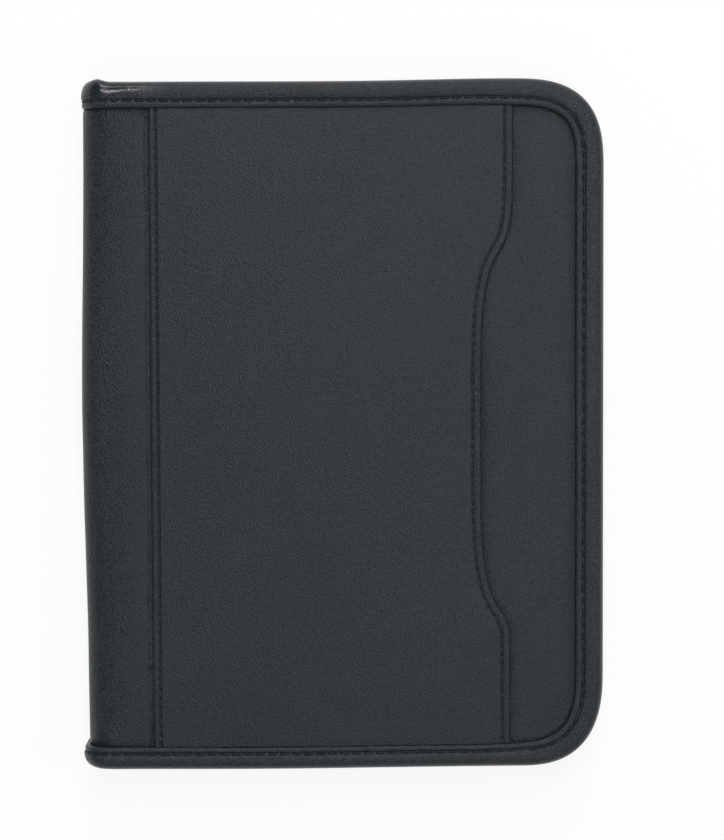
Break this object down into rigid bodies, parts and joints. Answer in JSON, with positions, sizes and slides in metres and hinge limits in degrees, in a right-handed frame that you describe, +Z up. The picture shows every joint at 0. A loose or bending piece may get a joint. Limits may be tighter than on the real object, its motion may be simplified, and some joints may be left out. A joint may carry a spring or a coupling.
{
  "type": "padfolio",
  "caption": "Small zip-around leather padfolio that closes round a notepad, with a front pocket, pen loop, card slots and a clear window inside",
  "frame": {"origin": "under the middle of the closed case, in the plane that it rests on", "axes": "+X from the spine to the fore edge, +Y from the tail to the head, +Z up through the closed case, from the back cover to the front cover"},
  "size_m": [0.18, 0.238, 0.026],
  "materials": {
    "cover_leather": "pebble-grained charcoal leather, soft satin",
    "lining_cloth": "plain woven charcoal lining",
    "inner_leather": "smooth charcoal leather",
    "foam": "thin open-cell padding",
    "board": "grey-brown bookbinder's board",
    "paper": "off-white writing paper",
    "backing_card": "brown chipboard",
    "header_tape": "dark binding tape",
    "zip_tape": "black herringbone tape",
    "zip_coil": "black nylon coil",
    "zip_metal": "gunmetal plating, satin",
    "clear_film": "clear flexible film"
  },
  "bodies": {
    "back_cover": {"back_leather": "cover_leather", "back_foam": "foam", "back_board": "board", "back_lining": "lining_cloth", "back_edge_band": "cover_leather", "back_zip_tape": "zip_tape", "back_zip_coil": "zip_coil", "back_zip_stop_head": "zip_metal", "back_zip_stop_tail": "zip_metal", "notepad_backing": "backing_card", "notepad_sheets": "paper", "notepad_header": "header_tape", "pad_pocket": "inner_leather", "pen_loop": "inner_leather"},
    "spine": {"spine_leather": "cover_leather", "spine_board": "board", "spine_lining": "lining_cloth", "head_spine_cap": "cover_leather", "tail_spine_cap": "cover_leather"},
    "front_cover": {"front_pocket_panel": "cover_leather", "front_leather": "cover_leather", "front_foam": "foam", "front_board": "board", "front_lining": "lining_cloth", "front_edge_band": "cover_leather", "front_zip_tape": "zip_tape", "front_zip_coil": "zip_coil", "front_zip_stop_head": "zip_metal", "front_zip_stop_tail": "zip_metal", "document_pocket": "inner_leather", "card_slot_1": "inner_leather", "card_slot_2": "inner_leather", "card_slot_3": "inner_leather", "window_frame": "inner_leather", "clear_window": "clear_film"},
    "zip_slider": {"zip_slider": "zip_metal"},
    "zip_pull": {"pull_link": "zip_metal", "pull_tab": "cover_leather"}
  },
  "joints": [
    {"name": "back_fold", "type": "hinge", "parent": "back_cover", "child": "spine", "pos_m": [-0.0871, 0, 0.003], "axis": [0, -1, 0], "range_deg": [0, 90], "deforming": ["spine_leather"]},
    {"name": "front_fold", "type": "hinge", "parent": "spine", "child": "front_cover", "pos_m": [-0.0871, 0, 0.023], "axis": [0, -1, 0], "range_deg": [0, 90], "deforming": ["spine_leather"]},
    {"name": "slider_run", "type": "slide", "parent": "back_cover", "child": "zip_slider", "axis": [1, 0, 0], "range_m": [0, 0.126]},
    {"name": "pull_swing", "type": "hinge", "parent": "zip_slider", "child": "zip_pull", "pos_m": [-0.07, -0.1167, 0.013], "axis": [0, 0, -1], "range_deg": [0, 155]}
  ],
  "couplings": [
    {"joint": "front_fold", "follows": "back_fold", "ratio": 1}
  ]
}
